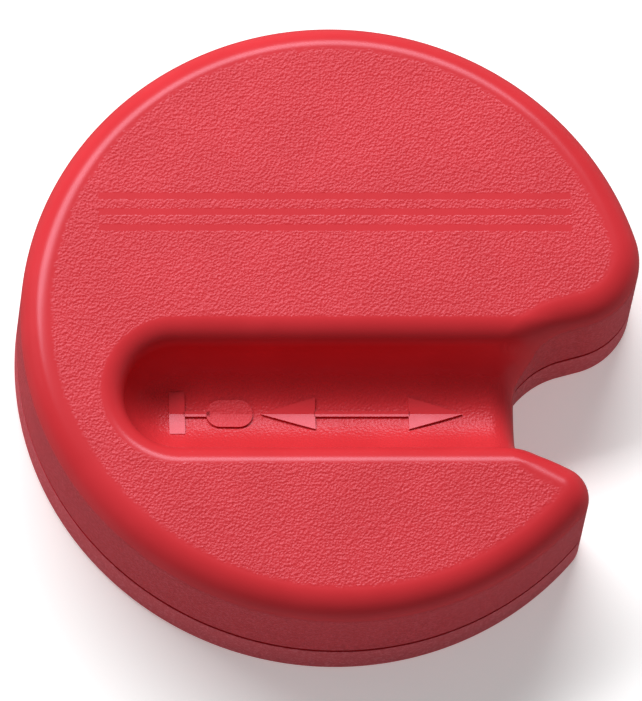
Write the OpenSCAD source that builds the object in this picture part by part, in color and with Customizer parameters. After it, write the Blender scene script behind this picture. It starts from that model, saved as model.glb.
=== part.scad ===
// Hand-held magnetizer for screwdriver blades: a round two-shell puck with a ball-ended
// trough across its top, a hooked notch in its rim and a sealed magnet pack under the trough.
// Millimetres, +Z up. The origin is the centre of the round body, on the base plane.
// +X runs along the trough, from its closed end to the notch.

/* [Body] */
// Diameter of the round body
body_d = 60; // [58:0.5:64]
// Height over the flat top
body_h = 15.4; // [15:0.1:17]
// Radius of the rolled edge round the top
edge_r = 2.6; // [2.2:0.1:2.7]
// Height of the line where the two shells meet
parting_h = 4.8; // [4.4:0.1:5.2]
// Small radius on the bottom edge
foot_r = 0.6; // [0.3:0.1:0.9]
// Wall thickness of both shells
wall = 1.8; // [1.6:0.1:2]
// Width of the shadow line between the shells
shadow_gap = 0.4; // [0.2:0.05:0.5]
// Depth of the shadow line
shadow_depth = 0.8; // [0.5:0.1:1]

/* [Notch] */
// Radius of the broad upper lobe beside the notch
nose_r = 7; // [6:0.25:7.5]
// Direction of the upper lobe from the body centre, degrees
nose_angle = 16.5; // [15:0.5:18]
// Radius of the hooked lower lobe
lobe_r = 3.1; // [3:0.05:3.4]
// Direction of the lower lobe from the body centre, degrees
lobe_angle = -40.5; // [-42:0.5:-40]
// Radius of the wide part of the notch
bay_r = 8.35; // [8.2:0.05:8.5]
// Centre of the wide part of the notch, along the trough
bay_x = 24.2; // [24:0.1:24.5]
// Centre of the wide part of the notch, across the trough
bay_y = -8.8; // [-9:0.1:-8.6]
// Radius of the bend from the wide part into the straight wall at the trough's mouth
mouth_r = 2.9; // [2.6:0.1:3.2]
// Direction from the wide centre to where that bend starts, degrees
mouth_angle = 139.5; // [138:0.5:141]
// Radius of the tight inner corner of the notch
hook_r = 4.1; // [3.9:0.1:4.2]
// Centre of the tight inner corner, across the trough
hook_y = -9.7; // [-9.9:0.1:-9.6]

/* [Trough] */
// Radius of the round trough floor
trough_r = 5.1; // [4.8:0.1:5.3]
// Radius of the trough's rolled lips
lip_r = 2.35; // [2:0.05:2.4]
// Depth of the trough below the top
trough_depth = 7; // [6.6:0.1:7.1]
// Centre line of the trough, across the body
trough_y = -7.4; // [-7.6:0.1:-7.2]
// Centre of the closed ball end, along the trough
trough_x0 = -15.2; // [-16:0.2:-14]
// Thickness of the trough's own wall
trough_wall = 1.3; // [1.1:0.1:1.4]
// Height of the raised slide symbol on the trough floor
symbol_h = 0.2; // [0.15:0.05:0.3]

/* [Joining] */
// Radius of the lower shell's four locating pegs
peg_r = 1.5; // [1.3:0.1:1.7]
// Radial play of a peg in its socket
peg_play = 0.05; // [0.03:0.01:0.1]
// Height of the lower shell's tongue above the parting line
tongue_h = 1.6; // [1.2:0.1:2]
// Thickness of the tongue
tongue_t = 0.8; // [0.6:0.1:0.9]

/* [Magnet pack] */
// Length of each magnet along the trough
magnet_l = 10; // [8:0.5:10]
// Width of each magnet
magnet_w = 12; // [10:0.5:12.5]
// Distance between the two magnet centres
magnet_pitch = 16; // [15:0.5:16.5]
// Middle of the magnet pack, along the trough
pack_x = -1; // [-2:0.1:-1]
// Thickness of the foam pad
foam_t = 0.7; // [0.5:0.1:0.8]
// Thickness of the steel yoke plate
yoke_t = 1.2; // [1:0.1:1.3]
// Height of the pole shoes' cheeks above the magnets
cheek_h = 3.4; // [2.5:0.1:3.6]
// Diameter of the round magnet beside the notch
nose_magnet_d = 7; // [6:0.5:7.5]
// Height of the round magnet beside the notch
nose_magnet_h = 6; // [5:0.5:7]

/* [Hidden] */
$fn = 48;
body_r = body_d / 2;
axis_z = body_h - trough_depth + trough_r;
base_t = 1.5;
roof_z = body_h - 1.7;
overlap = 0.5;
nose_c = (body_r - nose_r) * heading(nose_angle);
lobe_c = (body_r - lobe_r) * heading(lobe_angle);
bay_c = [bay_x, bay_y];
mouth_c = bay_c + (bay_r - mouth_r) * heading(mouth_angle);
mouth_x = mouth_c.x - mouth_r;
hook_c = [mouth_x + hook_r, hook_y];
// directions of the straight flanks between each lobe and the notch
nose_turn = flank_angle(nose_c, nose_r, bay_c, bay_r, 1);
lobe_turn = flank_angle(lobe_c, lobe_r, hook_c, hook_r, -1);
// half width of the trough at the top, lips included
lip_y = sqrt(pow(trough_r + lip_r, 2) - pow(body_h - lip_r - axis_z, 2));
// a point inside the body that sees every point of the outline
fan_c = [-20, -4];
// how far a rounded edge's last flat runs on past the flat face that trims it
run_on = 0.3;
roll_r = 2.4;
roll_l = 8;
roll_channel_r = trough_r - 0.25;
// how many straight steps the small arcs of the outline are drawn in
lobe_steps = 10;
hook_steps = 6;
mouth_steps = 4;
bay_steps = 6;
nose_steps = 8;
pegs = [[-13, 17], [13, 17], [-9, -21.5], [10, -21.5]];
peg_top = 9;
boss_wall = 1.3;
boss_r = peg_r + boss_wall;
play = 0.1;
foam_z = base_t;
yoke_z = foam_z + foam_t;
magnet_z = yoke_z + yoke_t;
shoe_z = axis_z - trough_r - trough_wall - play - 1;
magnet_h = shoe_z - magnet_z;
yoke_l = magnet_pitch + magnet_l;
shoe_w = 15;
tray_wall = 1;
tray_h = 4;
nose_magnet_c = [21.2, 7];
cup_wall = 0.9;
cup_h = 3;

function heading(a) = [cos(a), sin(a)];
function arc(c, r, a0, a1, n, last) = [for (i = [0:last]) c + r * heading(a0 + (a1 - a0) * i / n)];
function bearing(v) = atan2(v.y, v.x);
function flank_angle(c1, r1, c2, r2, side) =
    bearing(c2 - c1) + side * acos(min(1, (r1 + r2) / norm(c2 - c1)));

// The outline in plan, moved inward by inset: a large circle, two lobes and the notch between
// them, drawn anticlockwise with the same number of points at every inset.
function outline(inset) = concat(
    [for (a = concat([nose_angle], [for (d = [20:5:315]) d])) (body_r - inset) * heading(a)],
    arc(lobe_c, lobe_r - inset, lobe_angle, lobe_turn, lobe_steps, lobe_steps),
    arc(hook_c, hook_r + inset, lobe_turn + 180, 180, hook_steps, hook_steps),
    arc(mouth_c, mouth_r + inset, 180, mouth_angle, mouth_steps, mouth_steps - 1),
    arc(bay_c, bay_r + inset, mouth_angle, nose_turn + 180, bay_steps, bay_steps),
    arc(nose_c, nose_r - inset, nose_turn, 0, nose_steps, nose_steps - 1),
    arc(nose_c, nose_r - inset, 0, nose_angle, 2, 1));

module plan(inset) { polygon(outline(inset)); }

module slab(inset, z0, z1) { translate([0, 0, z0]) linear_extrude(z1 - z0) plan(inset); }

// The round floor of a channel of radius r, as flats that touch the round, in plan-section points
function floor_arc(r, step) = [for (a = [step / 2:step:90 - step / 2])
    [r / cos(step / 2) * sin(a), axis_z - r / cos(step / 2) * cos(a)]];

// A ball-ended channel along the trough line with upright sides, open toward the notch
module channel(r, top) {
    run_along_trough(concat([[0, top], [0, axis_z - r]], floor_arc(r, 15), [[r, axis_z], [r, top]]));
}

// Runs half a section along the trough line and turns it round the closed end
module run_along_trough(section) {
    translate([trough_x0, trough_y, 0]) {
        rotate([90, 0, 90]) linear_extrude(body_d) polygon(concat(
            [for (i = [1:len(section) - 1]) section[i]],
            [for (i = [len(section) - 1:-1:2]) [-section[i].x, section[i].y]]));
        rotate_extrude(angle = 180, start = 90) polygon(section);
    }
}

// Half of the trough's section, from the floor up one side and out over the rolled lip
function lip_section() = concat(
    [[0, body_h + 1], [0, axis_z - trough_r]],
    floor_arc(trough_r, 10),
    [for (a = [84:-12:12]) [lip_y - lip_r * sin(a), body_h - lip_r + lip_r * cos(a)]],
    [[lip_y + lip_r * sin(12), body_h + lip_r * (1 - cos(12))],
     [lip_y + lip_r * sin(12), body_h + 1]]);

// Rolls the trough floor over into the notch wall: channels tipped ever more steeply, each
// touching the same roll
module mouth_roll() {
    for (tip = [18:24:66])
        translate([mouth_x + roll_r * (sin(tip) - 1), trough_y,
                   body_h - trough_depth + roll_r * (cos(tip) - 1)])
            rotate([0, tip, 0]) translate([-roll_l / 2, 0, roll_channel_r])
                rotate([0, 90, 0]) cylinder(r = roll_channel_r, h = roll_l);
}

// A solid whose plan is the outline, with an inset at each height: [[inset, z], ...] upward,
// trimmed flat at z0 and z1. Untrimmed, its ends are fans round a point that sees the outline
module lofted(rings, z0, z1) {
    count = len(outline(0));
    levels = len(rings);
    points = concat([for (ring = rings) for (p = outline(ring[0])) [p.x, p.y, ring[1]]],
        [for (k = [0, levels - 1]) [fan_c.x, fan_c.y, rings[k][1]]]);
    faces = [for (i = [0:count - 1]) let (j = (i + 1) % count, high = (levels - 1) * count) each concat(
        [[levels * count, i, j], [levels * count + 1, high + j, high + i]],
        [for (k = [0:levels - 2]) [k * count + i, (k + 1) * count + i, (k + 1) * count + j, k * count + j]])];
    intersection() {
        polyhedron(points, faces);
        translate([-body_d, -body_d, z0]) cube([2 * body_d, 2 * body_d, z1 - z0]);
    }
}

// The body above the parting line, with the rolled rim and the trough
module upper_body() {
    difference() {
        lofted(concat([[0, parting_h - 1]],
            [for (a = [0:15:75]) [edge_r * (1 - cos(a)), body_h - edge_r + edge_r * sin(a)]],
            [[edge_r * (1 + run_on * cos(75)), body_h + edge_r * run_on * (1 - sin(75))]]),
            parting_h, body_h);
        run_along_trough(lip_section());
        mouth_roll();
    }
}

// The slide symbol in plan: a screwdriver lying along the trough and a double arrow
module symbol_plan() {
    translate([-15.8, -2.1]) square([1.5, 4.2]);
    translate([-14.8, -0.25]) square([3.4, 0.5]);
    hull() for (x = [-10.9, -9.2]) translate([x, 0]) circle(1.35);
    translate([-7, 0]) polygon([[0, 0], [5.1, -1.6], [5.1, 1.6]]);
    translate([-2.3, -0.25]) square([9.6, 0.5]);
    translate([7, 0]) polygon([[0, -1.6], [5.1, 0], [0, 1.6]]);
}

module slide_symbol() {
    intersection() {
        translate([0, trough_y, axis_z - trough_r - overlap])
            linear_extrude(trough_r) symbol_plan();
        translate([trough_x0 - 1, trough_y, axis_z]) rotate([0, 90, 0]) difference() {
            cylinder(r = trough_r + overlap, h = 30);
            translate([0, 0, -1]) cylinder(r = trough_r - symbol_h, h = 32);
        }
    }
}

module upper_shell() {
    color("#d8323c") difference() {
        union() {
            difference() {
                upper_body();
                difference() {
                    slab(wall, 0, roof_z);
                    channel(trough_r + trough_wall, body_h);
                }
            }
            slide_symbol();
            for (p = pegs) translate([p.x, p.y, parting_h + play])
                cylinder(r = boss_r, h = roof_z + overlap - parting_h - play);
        }
        for (p = pegs) translate([p.x, p.y, 0]) cylinder(r = peg_r + peg_play, h = peg_top + play);
        shadow_line();
    }
}

// The narrow gap all round the outside where the shells meet
module shadow_line() {
    difference() {
        slab(-1, parting_h - 1, parting_h + shadow_gap);
        slab(shadow_depth, parting_h - 2, parting_h + shadow_gap + 1);
    }
}

module lower_shell() {
    color("#d8323c") {
        difference() {
            union() {
                lofted(concat([[foot_r * (1 + run_on * sin(30)), -foot_r * run_on * (1 - cos(30))]],
                    [for (a = [30:30:90]) [foot_r * (1 - sin(a)), foot_r * (1 - cos(a))]],
                    [[0, parting_h + 1]]), 0, parting_h);
                slab(wall + play, base_t, parting_h + tongue_h);
            }
            slab(wall + play + tongue_t, base_t, body_h);
        }
        for (p = pegs) translate([p.x, p.y, base_t - overlap]) {
            cylinder(r = peg_r, h = peg_top - base_t + overlap);
            cylinder(r = boss_r, h = parting_h - base_t + overlap);
        }
        translate([nose_magnet_c.x, nose_magnet_c.y, base_t - overlap]) difference() {
            cylinder(d = nose_magnet_d + 2 * (play + cup_wall), h = cup_h + overlap);
            translate([0, 0, overlap]) cylinder(d = nose_magnet_d + 2 * play, h = cup_h + 1);
        }
    }
}

// A block centred on the trough line
module pack_block(x, l, w, z, h) {
    translate([x - l / 2, trough_y - w / 2, z]) cube([l, w, h]);
}

module magnet_tray() {
    color("#2b2b2e") difference() {
        pack_block(pack_x, yoke_l + 2 * (play + tray_wall), magnet_w + 2 * (play + tray_wall), base_t, tray_h);
        pack_block(pack_x, yoke_l + 2 * play, magnet_w + 2 * play, base_t - 1, yoke_z + yoke_t + play - base_t + 1);
        for (s = [-1, 1])
            pack_block(pack_x + s * magnet_pitch / 2, magnet_l + 2 * play, magnet_w + 2 * play, base_t, tray_h + 1);
    }
}

module foam_pad() { color("#4a4a4a") pack_block(pack_x, yoke_l - 1, magnet_w - 1, foam_z, foam_t); }

module yoke_plate() { color("#a9adb0") pack_block(pack_x, yoke_l, magnet_w, yoke_z, yoke_t); }

module magnet(side) { pack_block(pack_x + side * magnet_pitch / 2, magnet_l, magnet_w, magnet_z, magnet_h); }

// A steel saddle that carries the field from a magnet up both sides of the trough
module pole_shoe(side) {
    difference() {
        pack_block(pack_x + side * magnet_pitch / 2, magnet_l - 1, shoe_w, shoe_z, cheek_h);
        translate([-body_r, trough_y, axis_z]) rotate([0, 90, 0])
            cylinder(r = trough_r + trough_wall + play, h = body_d);
    }
}

module magnet_left() { color("#b9bcc0") magnet(-1); }
module magnet_right() { color("#b9bcc0") magnet(1); }
module pole_shoe_left() { color("#8f9498") pole_shoe(-1); }
module pole_shoe_right() { color("#8f9498") pole_shoe(1); }

module nose_magnet() {
    color("#4d4f52") translate([nose_magnet_c.x, nose_magnet_c.y, base_t])
        cylinder(d = nose_magnet_d, h = nose_magnet_h);
}

upper_shell();
lower_shell();
magnet_tray();
foam_pad();
yoke_plate();
magnet_left();
magnet_right();
pole_shoe_left();
pole_shoe_right();
nose_magnet();
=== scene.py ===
"""Looks for the hand-held screwdriver magnetizer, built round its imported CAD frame.

Lengths in this script are millimetres and are turned into metres where meshes are made.
The frame's origin is the centre of the round body on the base plane, +Z is up and +X runs
along the trough toward the notch.
"""
import math

import bpy
import numpy as np
from mathutils import Matrix, Vector
from mathutils.geometry import delaunay_2d_cdt


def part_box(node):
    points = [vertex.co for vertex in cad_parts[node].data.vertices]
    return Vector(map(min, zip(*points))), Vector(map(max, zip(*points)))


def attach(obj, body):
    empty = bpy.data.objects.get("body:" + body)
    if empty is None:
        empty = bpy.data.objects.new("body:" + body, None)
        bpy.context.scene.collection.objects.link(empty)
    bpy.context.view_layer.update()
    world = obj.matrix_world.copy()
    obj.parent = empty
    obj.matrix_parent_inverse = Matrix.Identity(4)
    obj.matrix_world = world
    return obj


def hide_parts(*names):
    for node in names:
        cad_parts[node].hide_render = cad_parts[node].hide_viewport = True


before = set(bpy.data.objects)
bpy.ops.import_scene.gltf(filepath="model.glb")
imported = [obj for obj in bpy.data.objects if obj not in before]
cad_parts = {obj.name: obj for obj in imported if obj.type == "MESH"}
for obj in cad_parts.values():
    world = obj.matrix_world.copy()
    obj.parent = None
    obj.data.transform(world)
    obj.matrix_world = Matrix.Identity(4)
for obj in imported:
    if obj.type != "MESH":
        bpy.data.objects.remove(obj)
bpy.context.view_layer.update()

MM = 0.001

# ---------------------------------------------------------------- sizes, in millimetres
upper_lo, upper_hi = (np.array(v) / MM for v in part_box("upper_shell"))
lower_lo, lower_hi = (np.array(v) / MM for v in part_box("lower_shell"))
BODY_R = (upper_hi[1] - upper_lo[1]) / 2
TOP_Z = upper_hi[2]
PARTING_Z = upper_lo[2]
BASE_Z = lower_lo[2]
PEG_TOP = lower_hi[2]
EDGE_R = 2.6
WALL = 1.8
ROOF_T = 1.7
ROOF_Z = TOP_Z - ROOF_T           # roof of the hollow inside
NOSE_R, NOSE_ANGLE = 7.0, 16.5
LOBE_R, LOBE_ANGLE = 3.1, -40.5
BAY_C, BAY_R = np.array([24.2, -8.8]), 8.35
MOUTH_R, MOUTH_ANGLE = 2.9, 139.5
HOOK_R, HOOK_Y = 4.1, -9.7
TROUGH_Y, TROUGH_X0, TROUGH_DEPTH = -7.4, -15.2, 7.0
FLOOR_R, LIP_R = 5.1, 2.35        # the trough's round floor and its rolled lips
TROUGH_WALL = 1.3
GAP, GAP_DEPTH = 0.4, 0.8         # shadow line between the shells
SEAM_R = 0.08                     # tiny rounds on both sides of the shadow line
FOOT_R = 0.6
FLOOR_T = 1.5
TONGUE_H, TONGUE_IN, TONGUE_T = 1.6, 1.9, 0.8
PEGS = [(-13, 17), (13, 17), (-9, -21.5), (10, -21.5)]
PEG_R, PEG_CHAMFER, BOSS_R = 1.5, 0.3, 2.8
PEG_PLAY, SOCKET_PLAY = 0.05, 0.1           # room round a peg and above it
SOCKET_MOUTH, SOCKET_MOUTH_H = 0.35, 0.4    # the socket's wider mouth: extra radius, height
BOSS_GAP, BOSS_SINK = 0.1, 0.5              # between two bosses, and into the roof
ROOT_Z = 1.0                                # lower bosses and cup start inside the floor
CUP_C, CUP_R0, CUP_R1, CUP_H = (21.2, 7.0), 3.6, 4.5, 3.0
STRIPE_Y, STRIPE_HALF_L = 10.55, 22.5
STRIPE_PITCH, STRIPE_HALF_W, STRIPE_BLUR = 1.6, 0.38, 0.1

# the raised symbol: height on the centre line, rise of its faces away from it, depth in the floor
SYMBOL_H, SYMBOL_LEAN, SYMBOL_SINK = 0.2, 0.16, 0.1
SYMBOL_TIP, SYMBOL_LINE, SYMBOL_HEAD = 0.02, 0.25, 1.6    # half widths
SYMBOL_COLUMNS, SYMBOL_SLICE = 11, 0.15

# mesh spacing
OUTLINE_STEP, TROUGH_STEP, ROOF_STEP, GRID_STEP = 0.22, 0.5, 1.0, 1.1
BALL_STEP, FLOOR_STEP, LIP_STEP, TUBE_STEP = 6, 4, 6, 8    # degrees
FLAT_ROWS = (0.2, 0.5, 0.9, 1.5)  # rows of vertices on the flat, in from the rolled edge
TROUGH_CLEAR, GRID_CLEAR = 0.12, 2.1      # least distance in from the rolled edge
ROW_LIP_CLEAR, GRID_LIP_CLEAR = 0.15, 0.4    # least distance from the trough's lip
ROW_SLACK = 0.03                  # drops points where a row folds over itself
LOOP_CLEAR = 0.1                  # least distance from a sheet's own edge
FINEST_R = 3.0                    # tighter arcs get as many points as this radius
WALL_ROWS, ROLL_ROWS, BAND_ROWS = 12, 18, 6
LATHE_STEPS = 48
NO_POINTS = np.zeros((0, 2))
NO_VERT = -1                      # fills the fourth corner of a triangle's row
INSIDE_LOOP = 1                   # delaunay_2d_cdt keeps only triangles inside the loop


def heading(degrees):
    a = np.radians(degrees)
    return np.stack([np.cos(a), np.sin(a)], -1)


# ---------------------------------------------------------------- the outline in plan
def flank_angle(c1, r1, c2, r2, side):
    v = c2 - c1
    return math.degrees(math.atan2(v[1], v[0])) + side * math.degrees(
        math.acos(min(1, (r1 + r2) / np.hypot(*v))))


NOSE_C = (BODY_R - NOSE_R) * heading(NOSE_ANGLE)
LOBE_C = (BODY_R - LOBE_R) * heading(LOBE_ANGLE)
MOUTH_C = BAY_C + (BAY_R - MOUTH_R) * heading(MOUTH_ANGLE)
HOOK_C = np.array([MOUTH_C[0] - MOUTH_R + HOOK_R, HOOK_Y])
NOSE_TURN = flank_angle(NOSE_C, NOSE_R, BAY_C, BAY_R, 1)
LOBE_TURN = flank_angle(LOBE_C, LOBE_R, HOOK_C, HOOK_R, -1)


def outline_columns(step):
    """Points round the outline and the unit directions from them into the body."""
    arcs = ((np.zeros(2), BODY_R, NOSE_ANGLE, 360 + LOBE_ANGLE, -1),
            (LOBE_C, LOBE_R, LOBE_ANGLE, LOBE_TURN, -1),
            (HOOK_C, HOOK_R, LOBE_TURN + 180, 180, 1),
            (MOUTH_C, MOUTH_R, 180, MOUTH_ANGLE, 1),
            (BAY_C, BAY_R, MOUTH_ANGLE, NOSE_TURN + 180, 1),
            (NOSE_C, NOSE_R, NOSE_TURN, NOSE_ANGLE, -1))
    ends = [centre + radius * heading(a0) for centre, radius, a0, _, _ in arcs]
    points, inward = [], []
    for (centre, radius, a0, a1, sign), after in zip(arcs, ends[1:] + ends[:1]):
        turn = abs(math.radians(a1 - a0))
        h = heading(np.linspace(a0, a1, 1 + int(turn * max(radius, FINEST_R) / step)))
        p = centre + radius * h
        # the straight stretch to where the next arc starts
        n = int(np.hypot(*(after - p[-1])) / step) + 1
        far = np.linspace(0, 1, n + 1)[1:-1, None]
        if n == 1:
            p, h = p[:-1], h[:-1]
        points += [p, p[-1] + far * (after - p[-1])]
        inward += [sign * h, np.repeat(sign * h[-1:], len(far), 0)]
    return np.concatenate(points), np.concatenate(inward)


# ---------------------------------------------------------------- the trough's section
LIP_Z = TOP_Z - LIP_R
AXIS_Z = TOP_Z - TROUGH_DEPTH + FLOOR_R
LIP_T = math.sqrt((FLOOR_R + LIP_R) ** 2 - (LIP_Z - AXIS_Z) ** 2)
TOUCH_T = LIP_T * FLOOR_R / (FLOOR_R + LIP_R)   # where the floor's arc meets the lip's
SMALL, STEEPEST = 1e-4, 60                      # keep slopes finite where an arc is upright
ROOF_SMALL = 1e-2
BATCHES = 40


def section(t):
    """Height and slope of the top across the trough, at distance t from its centre line."""
    t = np.abs(t)
    root = np.sqrt(np.maximum(FLOOR_R ** 2 - t ** 2, SMALL))
    lip = np.sqrt(np.maximum(LIP_R ** 2 - (LIP_T - t) ** 2, SMALL))
    z = np.where(t < TOUCH_T, AXIS_Z - root, np.where(t < LIP_T, LIP_Z + lip, TOP_Z))
    slope = np.where(t < TOUCH_T, t / root, np.where(t < LIP_T, (LIP_T - t) / lip, 0))
    return z, np.minimum(slope, STEEPEST)


def across(x, y):
    """Distance from the trough's centre line or ball-end centre, and its direction."""
    dx, dy = np.minimum(x - TROUGH_X0, 0), y - TROUGH_Y
    t = np.hypot(dx, dy) + 1e-9
    return t, dx / t, dy / t


def top_surface(x, y):
    """Height of the trough and flat top at (x, y), and its gradient."""
    t, ux, uy = across(x, y)
    z, slope = section(t)
    return z, slope * ux, slope * uy


def underside(x, y):
    """Height of the cavity's roof, which is flat or the trough's own wall, and its gradient."""
    t, ux, uy = across(x, y)
    r = FLOOR_R + TROUGH_WALL
    root = np.sqrt(np.maximum(r ** 2 - t ** 2, ROOF_SMALL))
    in_tube = (t < r) & (AXIS_Z - root < ROOF_Z)
    slope = np.where(in_tube, t / root, 0)
    return np.where(in_tube, AXIS_Z - root, ROOF_Z), slope * ux, slope * uy


def flat_at(z):
    """A level surface for sheet()."""
    return lambda x, y: (np.full(np.shape(x), z), np.zeros(np.shape(x)), np.zeros(np.shape(x)))


# ---------------------------------------------------------------- meshes from rings
class Rings:
    """Strips of quads between rings of points, with the normals given at each corner."""

    def __init__(self):
        self.verts, self.faces, self.normals = [], [], []
        self.count = 0

    def ring(self, xyz):
        self.verts.append(np.asarray(xyz, float))
        first = self.count
        self.count += len(xyz)
        return np.arange(first, self.count)

    def strip(self, a, b, na, nb):
        """Quads from ring a to ring b; a is below or outside b, and the ring runs anticlockwise."""
        self.faces.append(np.stack([a, np.roll(a, -1), np.roll(b, -1), b], 1))
        self.normals.append(np.stack([na, np.roll(na, -1, 0), np.roll(nb, -1, 0), nb], 1))

    def fan(self, a, centre):
        """Triangles from ring a to a centre point, all with one flat normal."""
        c = self.ring([centre])[0]
        a1 = np.roll(a, -1)
        v = np.concatenate(self.verts)
        n = np.cross(v[a1] - v[a], v[c] - v[a]).sum(0)
        n /= np.linalg.norm(n)
        self.faces.append(np.stack([a, a1, np.full(len(a), c), np.full(len(a), NO_VERT)], 1))
        self.normals.append(np.tile(n, (len(a), 4, 1)))

    def object(self, name, outline=None):
        verts = np.concatenate(self.verts) * MM
        quads, normals = np.concatenate(self.faces), np.concatenate(self.normals)
        faces = [tuple(int(i) for i in q if i >= 0) for q in quads]
        loops = normals[quads >= 0]
        mesh = bpy.data.meshes.new(name)
        mesh.from_pydata(verts.tolist(), [], faces)
        mesh.polygons.foreach_set("use_smooth", np.ones(len(faces), bool))
        mesh.normals_split_custom_set(loops.tolist())
        if outline is not None:
            inset = distance_to(outline, verts[:, :2] / MM)
            mesh.attributes.new("inset", "FLOAT", "POINT").data.foreach_set("value", inset)
        mesh.update()
        made = bpy.data.objects.new(name, mesh)
        bpy.context.scene.collection.objects.link(made)
        return made


def up(xy, z):
    return np.column_stack([xy, np.broadcast_to(z, len(xy))])


def flat(xy, nz=0.0):
    return np.column_stack([xy, np.full(len(xy), nz)])


def lathe(rings, centre, profile):
    """A closed turned lump: profile is (radius, z) from the axis below to the axis above."""
    h = heading(np.arange(LATHE_STEPS) * 360 / LATHE_STEPS)
    made = [(rings.ring(up(np.array(centre) + r * h, z)) if r > 0 else None, r, z)
            for r, z in profile]
    for (a, r0, z0), (b, r1, z1) in zip(made, made[1:]):
        if a is None:
            c = rings.ring([(centre[0], centre[1], z0)])[0]
            rings.faces.append(np.stack([np.full(LATHE_STEPS, c), np.roll(b, -1), b,
                                         np.full(LATHE_STEPS, NO_VERT)], 1))
            rings.normals.append(np.tile([0, 0, -1.0], (LATHE_STEPS, 4, 1)))
        elif b is None:
            rings.fan(a, (centre[0], centre[1], z1))
        else:
            nr, nz = z1 - z0, r0 - r1
            k = math.hypot(nr, nz)
            n = np.column_stack([h * nr / k, np.full(LATHE_STEPS, nz / k)])
            rings.strip(a, b, n, n)


def lower_round(rings, points, inward, radius, z, step):
    """Quarter round along a lower outer edge at height z: its rings and their normals."""
    made = []
    for a in range(0, 91, step):
        s, c = math.sin(math.radians(a)), math.cos(math.radians(a))
        ring = rings.ring(up(points + radius * (1 - s) * inward, z + radius * (1 - c)))
        made.append((ring, flat(-inward * s, -c)))
    for (low, n_low), (high, n_high) in zip(made, made[1:]):
        rings.strip(low, high, n_low, n_high)
    return made


def distance_to(outline, xy):
    """Distance from each place to the nearest outline point, in batches to save memory."""
    return np.concatenate([np.hypot(*(part[:, None] - outline[None]).transpose(2, 0, 1)).min(1)
                           for part in np.array_split(xy, BATCHES)])


def trough_points(rows, along):
    """Points on the trough in rows along it, carried round its ball end."""
    half = np.radians(np.arange(90, 271, BALL_STEP))
    row_t = np.array(rows)[:, None]
    ball = np.stack([TROUGH_X0 + row_t * np.cos(half), TROUGH_Y + row_t * np.sin(half)], -1)
    x = np.arange(TROUGH_X0 + along, BODY_R, along)[None]
    sides = [np.stack([x + 0 * row_t, TROUGH_Y + way * row_t + 0 * x], -1) for way in (-1, 1)]
    middle_x = np.arange(TROUGH_X0, BODY_R, along)
    middle = np.column_stack([middle_x, np.full(len(middle_x), TROUGH_Y)])
    return np.concatenate([middle] + [part.reshape(-1, 2) for part in (ball, *sides)])


def top_points(points, inward):
    """Places where the top's mesh has a vertex: along its edge, down the trough, over the flat."""
    floor = FLOOR_R * np.sin(np.radians(np.arange(FLOOR_STEP, 90, FLOOR_STEP)))
    lip = LIP_T - LIP_R * np.sin(np.radians(np.arange(0, 88, LIP_STEP)))
    trough = trough_points(np.concatenate([floor, lip]), TROUGH_STEP)
    trough = trough[distance_to(points, trough) > EDGE_R + TROUGH_CLEAR]
    edge = []
    for past in FLAT_ROWS:
        d = EDGE_R + past
        ring = points + d * inward
        unfolded = distance_to(points, ring) > d - ROW_SLACK
        edge.append(ring[unfolded & (across(*ring.T)[0] > LIP_T + ROW_LIP_CLEAR)])
    ticks = np.arange(-BODY_R, BODY_R, GRID_STEP)
    grid = np.stack(np.meshgrid(ticks, ticks), -1).reshape(-1, 2)
    grid = grid[(distance_to(points, grid) > EDGE_R + GRID_CLEAR)
                & (across(*grid.T)[0] > LIP_T + GRID_LIP_CLEAR)]
    return np.concatenate([trough, *edge, grid])


def roof_points():
    """Places where the cavity roof's mesh has a vertex: round the trough's wall."""
    r = FLOOR_R + TROUGH_WALL
    return trough_points(r * np.sin(np.radians(np.arange(TUBE_STEP, 89, TUBE_STEP))), ROOF_STEP)


def sheet(rings, edge, inner, surface, facing=1):
    """Triangles inside a loop of vertices and through the inner places, on the given surface."""
    loop = np.concatenate(rings.verts)[edge][:, :2]
    after = np.roll(loop, -1, 0)
    crossing = ((loop[:, 1] > inner[:, 1:]) != (after[:, 1] > inner[:, 1:])) & (
        inner[:, :1] < loop[:, 0] + (after[:, 0] - loop[:, 0]) * (inner[:, 1:] - loop[:, 1])
        / (after[:, 1] - loop[:, 1] + 1e-12))
    inner = inner[crossing.sum(1) % 2 == 1]
    inner = inner[distance_to(loop, inner) > LOOP_CLEAR] if len(inner) else inner
    xy = np.concatenate([loop, inner])
    _, _, tris, came_from, _, _ = delaunay_2d_cdt(
        [Vector(p) for p in xy.tolist()], [], [list(range(len(loop)))], INSIDE_LOOP, 1e-7)
    index = np.array([ids[0] for ids in came_from])
    tris = index[np.array(tris)]
    a, b, c = (xy[tris[:, k]] for k in range(3))
    ab, ac = b - a, c - a
    turned = ab[:, 0] * ac[:, 1] - ab[:, 1] * ac[:, 0] < 0
    tris[turned] = tris[turned][:, ::-1]
    z, gx, gy = surface(*xy.T)
    n = np.column_stack([-gx, -gy, np.ones(len(xy))]) * facing
    n /= np.linalg.norm(n, axis=1)[:, None]
    inside = rings.ring(up(inner, z[len(loop):])) if len(inner) else np.zeros(0, int)
    tris = tris[:, ::facing]
    ids = np.concatenate([edge, inside])[tris]
    rings.faces.append(np.column_stack([ids, np.full(len(ids), NO_VERT)]))
    rings.normals.append(np.concatenate([n[tris], np.zeros((len(tris), 1, 3))], 1))


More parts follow.
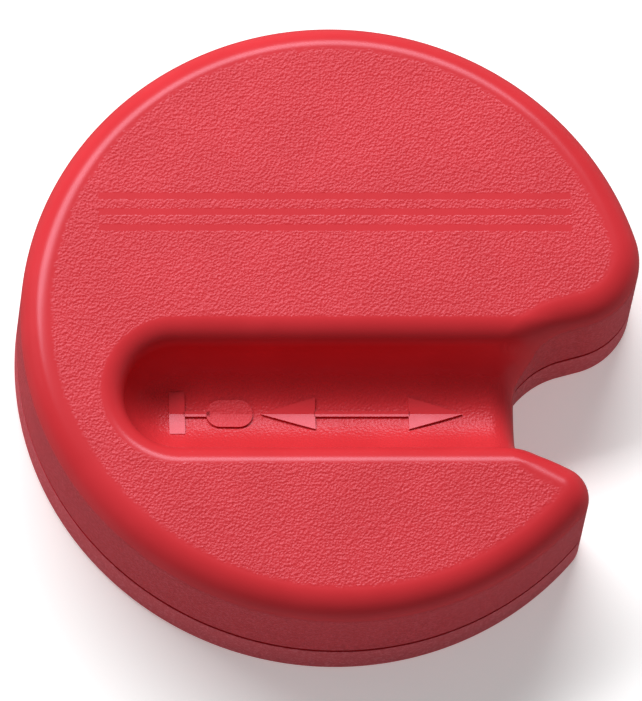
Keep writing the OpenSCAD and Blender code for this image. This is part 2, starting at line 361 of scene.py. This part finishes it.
def upper_moulding():
    """The red top: a closed shell, with four closed bosses that run up into its roof."""
    points, inward = outline_columns(OUTLINE_STEP)
    rings = Rings()
    count = len(points)

    # the wall, from the shadow line up to where the rolled edge starts
    seam = lower_round(rings, points, inward, SEAM_R, PARTING_Z + GAP, 30)
    z_edge = top_surface(*points.T)[0] - EDGE_R
    wall_n = flat(-inward)
    below = seam[-1][0]
    z_low = PARTING_Z + GAP + SEAM_R
    for k in range(1, WALL_ROWS + 1):
        ring = rings.ring(up(points, z_low + (z_edge - z_low) * k / WALL_ROWS))
        rings.strip(below, ring, wall_n, wall_n)
        below = ring

    # the rolled edge, draped over the mouth of the trough
    n_below = wall_n
    for k in range(1, ROLL_ROWS + 1):
        a = math.radians(90 * k / ROLL_ROWS)
        d = EDGE_R * (1 - math.cos(a))
        xy = points + d * inward
        z, gx, gy = top_surface(*xy.T)
        ring = rings.ring(up(xy, z - EDGE_R * (1 - math.sin(a))))
        steep = math.cos(a) / math.sin(a)
        n = np.column_stack([-(gx + steep * inward[:, 0]), -(gy + steep * inward[:, 1]),
                             np.ones(count)])
        n /= np.linalg.norm(n, axis=1)[:, None]
        rings.strip(below, ring, n_below, n)
        below, n_below = ring, n

    # the flat top and the trough
    sheet(rings, below, top_points(points, inward), top_surface)

    # underneath: the shadow line's ledge, the cavity wall and roof
    def down(a, b, na, nb):
        rings.strip(b, a, nb, na)
    first = seam[0][0]
    under = np.tile([0, 0, -1.0], (count, 1))
    ledge0 = rings.ring(up(points + GAP_DEPTH * inward, PARTING_Z + GAP))
    ledge1 = rings.ring(up(points + GAP_DEPTH * inward, PARTING_Z))
    rim = rings.ring(up(points + WALL * inward, PARTING_Z))
    down(first, ledge0, under, under)
    down(ledge0, ledge1, wall_n, wall_n)
    down(ledge1, rim, under, under)
    start = points + WALL * inward
    roof = rings.ring(up(start, underside(*start.T)[0]))
    down(rim, roof, -wall_n, -wall_n)
    sheet(rings, roof, roof_points(), underside, -1)

    # bosses with blind sockets for the lower shell's pegs
    for p in PEGS:
        lathe(rings, p, [(0, PEG_TOP + SOCKET_PLAY), (PEG_R + PEG_PLAY, PEG_TOP + SOCKET_PLAY),
                         (PEG_R + PEG_PLAY, PARTING_Z + SOCKET_MOUTH_H),
                         (PEG_R + SOCKET_MOUTH, PARTING_Z + BOSS_GAP),
                         (BOSS_R, PARTING_Z + BOSS_GAP),
                         (BOSS_R, ROOF_Z + BOSS_SINK), (0, ROOF_Z + BOSS_SINK)])
    return rings.object("upper_moulding", points)


def lower_moulding():
    """The red base: a closed shell, with closed bosses and a cup that start inside its floor."""
    points, inward = outline_columns(OUTLINE_STEP)
    rings = Rings()
    wall_n, over = flat(-inward), np.tile([0, 0, 1.0], (len(points), 1))

    # the foot's round, and the side band up to the shadow line
    foot = lower_round(rings, points, inward, FOOT_R, BASE_Z, 15)
    below = foot[-1][0]
    top = PARTING_Z - SEAM_R
    for k in range(1, BAND_ROWS + 1):
        ring = rings.ring(up(points, FOOT_R + (top - FOOT_R) * k / BAND_ROWS))
        rings.strip(below, ring, wall_n, wall_n)
        below = ring
    n_below = wall_n
    for a in (30, 60, 90):
        s, c = math.sin(math.radians(a)), math.cos(math.radians(a))
        ring = rings.ring(up(points + SEAM_R * (1 - c) * inward, top + SEAM_R * s))
        n = flat(-inward * c, s)
        rings.strip(below, ring, n_below, n)
        below, n_below = ring, n

    # the rim and the tongue that stands inside the upper shell
    for inset, z, n in ((TONGUE_IN, PARTING_Z, over), (TONGUE_IN, PARTING_Z + TONGUE_H, wall_n),
                        (TONGUE_IN + TONGUE_T, PARTING_Z + TONGUE_H, over),
                        (TONGUE_IN + TONGUE_T, BASE_Z + FLOOR_T, -wall_n)):
        ring = rings.ring(up(points + inset * inward, z))
        rings.strip(below, ring, n, n)
        below = ring
    sheet(rings, below, NO_POINTS, flat_at(BASE_Z + FLOOR_T))
    sheet(rings, foot[0][0], NO_POINTS, flat_at(BASE_Z), -1)

    # bosses with their pegs, and the cup that holds the nose magnet
    for p in PEGS:
        lathe(rings, p, [(0, ROOT_Z), (BOSS_R, ROOT_Z), (BOSS_R, PARTING_Z), (PEG_R, PARTING_Z),
                         (PEG_R, PEG_TOP - PEG_CHAMFER), (PEG_R - PEG_CHAMFER, PEG_TOP),
                         (0, PEG_TOP)])
    lathe(rings, CUP_C, [(0, ROOT_Z), (CUP_R1, ROOT_Z), (CUP_R1, FLOOR_T + CUP_H),
                         (CUP_R0, FLOOR_T + CUP_H), (CUP_R0, FLOOR_T), (0, FLOOR_T)])
    return rings.object("lower_moulding", points)


def capsule(x0, x1, r):
    """Half widths along a bar with round ends, whose end centres are at x0 and x1."""
    a = np.radians(np.linspace(0, 180, 19))
    xs = np.where(a < math.pi / 2, x0, x1) - r * np.cos(a)
    return [(x, max(r * math.sin(b), SYMBOL_TIP)) for x, b in zip(xs, a)]


def slide_symbol():
    """Raised faces on the trough floor: a screwdriver and a double arrow, each a closed strip."""
    # (x, half width) along each shape: cap, rod, handle, arrowhead, shaft, arrowhead
    shapes = [
        [(-15.8, 2.1), (-14.3, 2.1)],
        [(-14.4, SYMBOL_LINE), (-11.9, SYMBOL_LINE)],
        capsule(-10.9, -9.2, 1.35),
        [(-7.0, SYMBOL_TIP), (-1.9, SYMBOL_HEAD)],
        [(-2.0, SYMBOL_LINE), (7.1, SYMBOL_LINE)],
        [(7.0, SYMBOL_HEAD), (12.1, SYMBOL_TIP)],
    ]
    rings = Rings()
    for shape in shapes:
        xs, ws = np.array(shape).T
        if len(xs) == 2:
            grid = np.linspace(xs[0], xs[-1], max(2, int((xs[-1] - xs[0]) / SYMBOL_SLICE)))
            ws, xs = np.interp(grid, xs, ws), grid
        sections = []
        for x, w in zip(xs, ws):
            y = np.linspace(-w, w, SYMBOL_COLUMNS)
            top = AXIS_Z - FLOOR_R + SYMBOL_H + SYMBOL_LEAN * np.abs(y)
            bottom = section(y)[0] - SYMBOL_SINK
            # anticlockwise seen from +X
            at_x, at_y = np.full(SYMBOL_COLUMNS, x), TROUGH_Y + y
            loop = np.concatenate([np.column_stack([at_x, at_y, top])[::-1],
                                   np.column_stack([at_x, at_y, bottom])])
            sections.append(rings.ring(loop))
        v = np.concatenate(rings.verts)
        for a, b in zip(sections, sections[1:]):
            a1, b1 = np.roll(a, -1), np.roll(b, -1)
            quads = np.stack([a, a1, b1, b], 1)
            n = np.cross(v[a1] - v[a], v[b] - v[a])
            n /= np.linalg.norm(n, axis=1)[:, None] + 1e-12
            rings.faces.append(quads)
            rings.normals.append(np.stack([n] * 4, 1))
        for end, way in ((sections[0], -1.0), (sections[-1], 1.0)):
            for k in range(SYMBOL_COLUMNS - 1):
                top0, top1 = end[SYMBOL_COLUMNS - 1 - k], end[SYMBOL_COLUMNS - 2 - k]
                low0, low1 = end[SYMBOL_COLUMNS + k], end[SYMBOL_COLUMNS + k + 1]
                quad = [top0, top1, low1, low0]
                rings.faces.append(np.array([quad if way < 0 else quad[::-1]]))
                rings.normals.append(np.tile([way, 0, 0], (1, 4, 1)))
    return rings.object("slide_symbol")


# ---------------------------------------------------------------- materials
class Nodes:
    """Small helper to write node graphs as expressions."""

    def __init__(self, name):
        self.material = bpy.data.materials.new(name)
        self.material.use_nodes = True
        self.tree = self.material.node_tree
        self.tree.nodes.clear()
        out = self.tree.nodes.new("ShaderNodeOutputMaterial")
        self.bsdf = self.tree.nodes.new("ShaderNodeBsdfPrincipled")
        self.tree.links.new(self.bsdf.outputs[0], out.inputs[0])
        coords = self.tree.nodes.new("ShaderNodeTexCoord")
        self.place = coords.outputs["Object"]
        split = self.tree.nodes.new("ShaderNodeSeparateXYZ")
        self.tree.links.new(self.place, split.inputs[0])
        self.x, self.y = (self.math("MULTIPLY", split.outputs[i], 1 / MM) for i in range(2))

    def link(self, value, socket):
        if isinstance(value, bpy.types.NodeSocket):
            self.tree.links.new(value, socket)
        else:
            socket.default_value = value

    def math(self, operation, a, b=None, c=None):
        node = self.tree.nodes.new("ShaderNodeMath")
        node.operation = operation
        for i, v in enumerate((a, b, c)):
            if v is not None:
                self.link(v, node.inputs[i])
        return node.outputs[0]

    def ramp(self, value, lo, hi, out0=0.0, out1=1.0):
        """A smooth step of value between lo and hi."""
        node = self.tree.nodes.new("ShaderNodeMapRange")
        node.interpolation_type = "SMOOTHSTEP"
        for i, v in enumerate((value, lo, hi, out0, out1)):
            self.link(v, node.inputs[i])
        return node.outputs[0]

    def scaled(self, size, stretch=(1, 1, 1)):
        """Object coordinates in units of size millimetres."""
        node = self.tree.nodes.new("ShaderNodeMapping")
        self.tree.links.new(self.place, node.inputs[0])
        node.inputs["Scale"].default_value = [s / (size * MM) for s in stretch]
        return node.outputs[0]

    def noise(self, size, detail=2.0, rough=0.5, stretch=(1, 1, 1), distortion=0.0):
        node = self.tree.nodes.new("ShaderNodeTexNoise")
        self.tree.links.new(self.scaled(size, stretch), node.inputs["Vector"])
        node.inputs["Scale"].default_value = 1.0
        node.inputs["Detail"].default_value = detail
        node.inputs["Roughness"].default_value = rough
        node.inputs["Distortion"].default_value = distortion
        return node.outputs[0]

    def cells(self, size, smooth):
        """Rounded cells: distance to the nearest cell's centre."""
        node = self.tree.nodes.new("ShaderNodeTexVoronoi")
        node.feature = "SMOOTH_F1"
        self.tree.links.new(self.scaled(size), node.inputs["Vector"])
        node.inputs["Scale"].default_value = 1.0
        node.inputs["Smoothness"].default_value = smooth
        return node.outputs["Distance"]

    def mix(self, factor, a, b):
        node = self.tree.nodes.new("ShaderNodeMix")
        node.data_type = "RGBA"
        self.link(factor, node.inputs[0])
        self.link(a, node.inputs[6])
        self.link(b, node.inputs[7])
        return node.outputs[2]

    def bump(self, height, depth):
        """Bump whose height of 1 stands for depth millimetres."""
        node = self.tree.nodes.new("ShaderNodeBump")
        node.inputs["Strength"].default_value = 1.0
        node.inputs["Distance"].default_value = depth * MM
        self.link(height, node.inputs["Height"])
        self.tree.links.new(node.outputs[0], self.bsdf.inputs["Normal"])

    def set(self, **values):
        """Sets or links sockets of the shader, with _ for a space in their names."""
        for name, value in values.items():
            self.link(value, self.bsdf.inputs[name.replace("_", " ")])


RED = (0.63, 0.033, 0.042, 1)
RED_DEEP = (0.60, 0.030, 0.038, 1)
# upper walls: a darker red than the top, which is painted shade on the same plastic, mottled with
# pale painted glints
RED_WALL_PAINTED_SHADE, RED_PAINTED_GLINT = (0.50, 0.018, 0.030, 1), (0.66, 0.075, 0.11, 1)
# lower band: a brighter, greyer red, which is painted light and a painted reflection of the pale
# floor, with pale painted glints
RED_BAND_PAINTED_LIGHT, RED_BAND_PAINTED_GLINT = (0.64, 0.050, 0.066, 1), (0.78, 0.15, 0.19, 1)
SHEEN = (1.0, 0.82, 1.0, 1)       # the plastic's reflections are faintly rosy
GLOSS_UPPER, GLOSS_LOWER, GLOSS_SYMBOL = 0.26, 0.5, 0.38    # specular levels
SHELL_BUMP, SYMBOL_BUMP = 0.075, 0.09                    # bump depths in millimetres
SPARK_SIZE, PAINTED_GLINT_SIZE = 0.26, 0.34                      # the side walls' spark grain, and the size of the painted glints on them
LEATHER_SIZE, WRINKLE_SIZE, LEATHER_MEAN = 0.26, 0.24, 0.62
PATCH_SIZE, RAGGED_SIZE = 6.0, 0.7                       # slow tone change, ragged grain edge
HANDLE_START, HANDLE_END = (-12.5, -12.1), (-7.4, -7.8)  # along X, where its wear fades out


def red_shell_material(name, with_top):
    """Moulded red plastic: leather grain on the flat top, fine spark grain on the sides. The sides'
    colour holds painted light: painted shade on the upper walls, painted light and a painted
    reflection on the lower band, and pale painted glints on both.
    """
    g = Nodes(name)
    m = g.math
    attribute = g.tree.nodes.new("ShaderNodeAttribute")
    attribute.attribute_name = "inset"
    inset = attribute.outputs["Fac"]
    fine = g.noise(SPARK_SIZE, 3.0, 0.7)
    patch = g.noise(PATCH_SIZE, 2.0, 0.5)
    side = g.ramp(inset, 0.08, 0.0)
    height = m("MULTIPLY", m("MULTIPLY", fine, side), 1.3)
    rough = m("MULTIPLY_ADD", side, 0.22, 0.23)
    if with_top:
        ragged = m("MULTIPLY_ADD", g.noise(RAGGED_SIZE, 1.0), 0.9, -0.45)
        t = m("ABSOLUTE", m("SUBTRACT", g.y, TROUGH_Y))
        past_x0 = m("MINIMUM", m("SUBTRACT", g.x, TROUGH_X0), 0.0)
        t = m("SQRT", m("ADD", m("MULTIPLY", t, t), m("MULTIPLY", past_x0, past_x0)))
        top = m("MULTIPLY", g.ramp(m("ADD", inset, ragged), EDGE_R, EDGE_R + 0.7),
                g.ramp(t, LIP_T - 0.2, LIP_T + 0.2))
        floor = m("MULTIPLY", g.ramp(m("ADD", t, ragged), 3.9, 2.7), g.ramp(inset, 1.2, 2.2))
        # three plain pinstripes, left smooth
        along = m("SUBTRACT", m("ABSOLUTE", g.x), STRIPE_HALF_L)
        stripes = None
        for k in (-1, 0, 1):
            off = m("ABSOLUTE", m("SUBTRACT", g.y, STRIPE_Y + STRIPE_PITCH * k))
            far = m("MAXIMUM", m("SUBTRACT", off, STRIPE_HALF_W), along)
            line = g.ramp(far, STRIPE_BLUR, -STRIPE_BLUR)
            stripes = line if stripes is None else m("MAXIMUM", stripes, line)
        grain_zone = m("MULTIPLY", m("MAXIMUM", top, m("MULTIPLY", floor, 0.7)),
                       m("SUBTRACT", 1.0, stripes))
        cells = g.cells(LEATHER_SIZE, 0.3)
        wrinkle = g.noise(WRINKLE_SIZE, 2.0, 0.6, distortion=0.2)
        # its mean is taken off, so that the smooth stripes sit level with the grain
        leather = m("MULTIPLY_ADD", cells, 0.7, m("MULTIPLY_ADD", wrinkle, 0.7, -LEATHER_MEAN))
        height = m("ADD", m("MULTIPLY", leather, grain_zone), height)
        rough = m("MULTIPLY_ADD", grain_zone, 0.12, rough)
    tone = g.mix(g.ramp(patch, 0.35, 0.65), RED, RED_DEEP)
    # the sides are mixed toward their painted shade or painted light, mottled by the spark grain
    painted_side_light = m("MULTIPLY", side, g.ramp(fine, 0.60, 0.40, 0.3, 1.0))
    # pale dots on the sides: painted glints, not flecks in the plastic
    painted_glints = m("MULTIPLY", side, g.ramp(g.noise(PAINTED_GLINT_SIZE, 3.0, 0.75), 0.50, 0.60, 0.0, 0.55))
    # painted shade and glints for the upper walls; painted light, reflection and glints for the
    # lower band
    painted_side_colour, pale = (RED_WALL_PAINTED_SHADE, RED_PAINTED_GLINT) if with_top else (RED_BAND_PAINTED_LIGHT, RED_BAND_PAINTED_GLINT)
    g.set(Base_Color=g.mix(painted_glints, g.mix(painted_side_light, tone, painted_side_colour), pale),
          Roughness=m("MULTIPLY_ADD", patch, 0.05, rough))
    g.bump(height, SHELL_BUMP)
    g.bsdf.inputs["Specular IOR Level"].default_value = GLOSS_UPPER if with_top else GLOSS_LOWER
    g.bsdf.inputs["Specular Tint"].default_value = SHEEN
    return g.material


def symbol_material():
    """Smooth glossy red, with a rougher worn face on the symbol's handle."""
    g = Nodes("glossy_red")
    m = g.math
    worn = m("MULTIPLY", g.ramp(g.x, *HANDLE_START), g.ramp(g.x, *HANDLE_END))
    grain = m("MULTIPLY", g.noise(0.26, 3.0, 0.6), m("MULTIPLY_ADD", worn, 0.95, 0.05))
    g.set(Base_Color=RED,
          Roughness=m("MULTIPLY_ADD", worn, 0.15, m("MULTIPLY_ADD", g.noise(1.5), 0.08, 0.30)))
    g.bump(grain, SYMBOL_BUMP)
    g.bsdf.inputs["Specular IOR Level"].default_value = GLOSS_SYMBOL
    g.bsdf.inputs["Specular Tint"].default_value = SHEEN
    return g.material


def simple_material(name, dark, light, rough, metal, size, depth, stretch):
    """Procedural finish for the parts inside: two tones, uneven gloss and a fine surface."""
    g = Nodes(name)
    tone = g.noise(size * 8, 3.0, 0.6, stretch)
    fine = g.noise(size, 4.0, 0.65, stretch)
    g.set(Base_Color=g.mix(g.ramp(tone, 0.35, 0.65), (*dark, 1), (*light, 1)),
          Roughness=g.math("MULTIPLY_ADD", fine, 0.25, rough))
    g.bsdf.inputs["Metallic"].default_value = metal
    g.bump(fine, depth)
    return g.material


def assign(obj, material):
    obj.data.materials.clear()
    obj.data.materials.append(material)


# ---------------------------------------------------------------- camera, floor, light
CAMERA_ANGLES = (69.39, -10.74, -10.07)    # elevation, azimuth and roll, in degrees
CAMERA_DISTANCE, CAMERA_AIM = 1500, (-0.590, 2.219, 0)
LENS, SENSOR = 879.35, 36
WORLD_LIGHT, FLOOR_GLOW = 0.15, 0.3
FLOOR_HALF, FLOOR_DROP = 2.0, 0.00002      # metres; the drop keeps it clear of the base
LIGHT_TARGET = (0, 0, 0.01)


def add_camera():
    elevation, azimuth, roll = (math.radians(a) for a in CAMERA_ANGLES)
    aim = Vector(CAMERA_AIM) * MM
    back = Vector((math.sin(azimuth) * math.cos(elevation),
                   -math.cos(azimuth) * math.cos(elevation), math.sin(elevation)))
    right = Vector((math.cos(azimuth), math.sin(azimuth), 0))
    upward = back.cross(right)
    data = bpy.data.cameras.new("camera")
    data.sensor_fit, data.sensor_width, data.lens = "HORIZONTAL", SENSOR, LENS
    camera = bpy.data.objects.new("camera", data)
    x = right * math.cos(roll) - upward * math.sin(roll)
    y = right * math.sin(roll) + upward * math.cos(roll)
    place = Matrix.Translation(aim + back * (CAMERA_DISTANCE * MM))
    camera.matrix_world = place @ Matrix((x, y, back)).transposed().to_4x4()
    bpy.context.scene.collection.objects.link(camera)
    bpy.context.scene.camera = camera


def add_light(name, place, size_x, size_y, power):
    """A rectangular lamp, in metres and watts, that faces the object."""
    data = bpy.data.lights.new(name, "AREA")
    data.shape, data.size, data.size_y, data.energy = "RECTANGLE", size_x, size_y, power
    light = bpy.data.objects.new(name, data)
    light.location = place
    facing = Vector(place) - Vector(LIGHT_TARGET)
    light.rotation_euler = facing.to_track_quat("Z", "Y").to_euler()
    light.visible_camera = False
    bpy.context.scene.collection.objects.link(light)


def add_studio():
    world = bpy.data.worlds.new("studio")
    world.use_nodes = True
    world.node_tree.nodes["Background"].inputs["Color"].default_value = (1, 1, 1, 1)
    world.node_tree.nodes["Background"].inputs["Strength"].default_value = WORLD_LIGHT
    bpy.context.scene.world = world
    mesh = bpy.data.meshes.new("floor")
    corners = [(-1, -1), (1, -1), (1, 1), (-1, 1)]
    mesh.from_pydata([(FLOOR_HALF * x, FLOOR_HALF * y, 0) for x, y in corners], [], [(0, 1, 2, 3)])
    floor = bpy.data.objects.new("floor", mesh)
    floor.location.z = BASE_Z * MM - FLOOR_DROP
    bpy.context.scene.collection.objects.link(floor)
    g = Nodes("pale_floor")
    g.set(Base_Color=g.mix(g.noise(40), (0.92, 0.92, 0.92, 1), (0.94, 0.94, 0.94, 1)),
          Roughness=0.7)
    g.bsdf.inputs["Emission Color"].default_value = (1, 1, 1, 1)
    g.bsdf.inputs["Emission Strength"].default_value = FLOOR_GLOW
    assign(floor, g.material)
    floor.visible_glossy = False   # keeps the pale floor out of the plastic's grazing reflections
    add_light("key", (-0.12, 0.34, 0.45), 0.70, 0.18, 4.8)
    add_light("left_fill", (-0.55, 0.20, 0.22), 0.3, 0.3, 0.2)


add_camera()
add_studio()
bpy.context.scene.view_settings.view_transform = "Standard"

# ---------------------------------------------------------------- pieces
upper = upper_moulding()
assign(upper, red_shell_material("red_shell_upper", True))
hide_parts("upper_shell")
lower = lower_moulding()
assign(lower, red_shell_material("red_shell_lower", False))
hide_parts("lower_shell")
symbol = slide_symbol()
assign(symbol, symbol_material())
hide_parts("upper_shell")
for piece in (upper, lower, symbol):
    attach(piece, "root")

# node: material's name, dark and light tone, roughness, metallic, grain size and depth in
# millimetres, and how the grain is squeezed along X, Y and Z
EVEN, ALONG_X, ALONG_Y = (1, 1, 1), (1, 6, 6), (6, 1, 6)
NICKEL = ((0.55, 0.54, 0.51), (0.66, 0.65, 0.62), 0.12, 1, 0.3, 0.004, EVEN)
SHOE_STEEL = ((0.30, 0.30, 0.31), (0.42, 0.42, 0.43), 0.3, 1, 0.2, 0.01, ALONG_Y)
YOKE_STEEL = ((0.34, 0.34, 0.35), (0.46, 0.46, 0.47), 0.3, 1, 0.2, 0.01, ALONG_X)
BLACK_PLASTIC = ((0.012, 0.012, 0.013), (0.02, 0.02, 0.021), 0.45, 0, 0.12, 0.02, EVEN)
FOAM = ((0.05, 0.05, 0.05), (0.09, 0.09, 0.09), 0.7, 0, 0.25, 0.12, EVEN)
FERRITE = ((0.03, 0.03, 0.033), (0.06, 0.06, 0.065), 0.55, 0, 0.15, 0.02, EVEN)
INSIDE = {
    "magnet_tray": ("black_tray", *BLACK_PLASTIC),
    "foam_pad": ("grey_foam", *FOAM),
    "yoke_plate": ("stamped_steel", *YOKE_STEEL),
    "magnet_left": ("nickel_left", *NICKEL),
    "magnet_right": ("nickel_right", *NICKEL),
    "pole_shoe_left": ("shoe_steel_left", *SHOE_STEEL),
    "pole_shoe_right": ("shoe_steel_right", *SHOE_STEEL),
    "nose_magnet": ("ferrite", *FERRITE),
}
for name, finish in INSIDE.items():
    assign(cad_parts[name], simple_material(*finish))
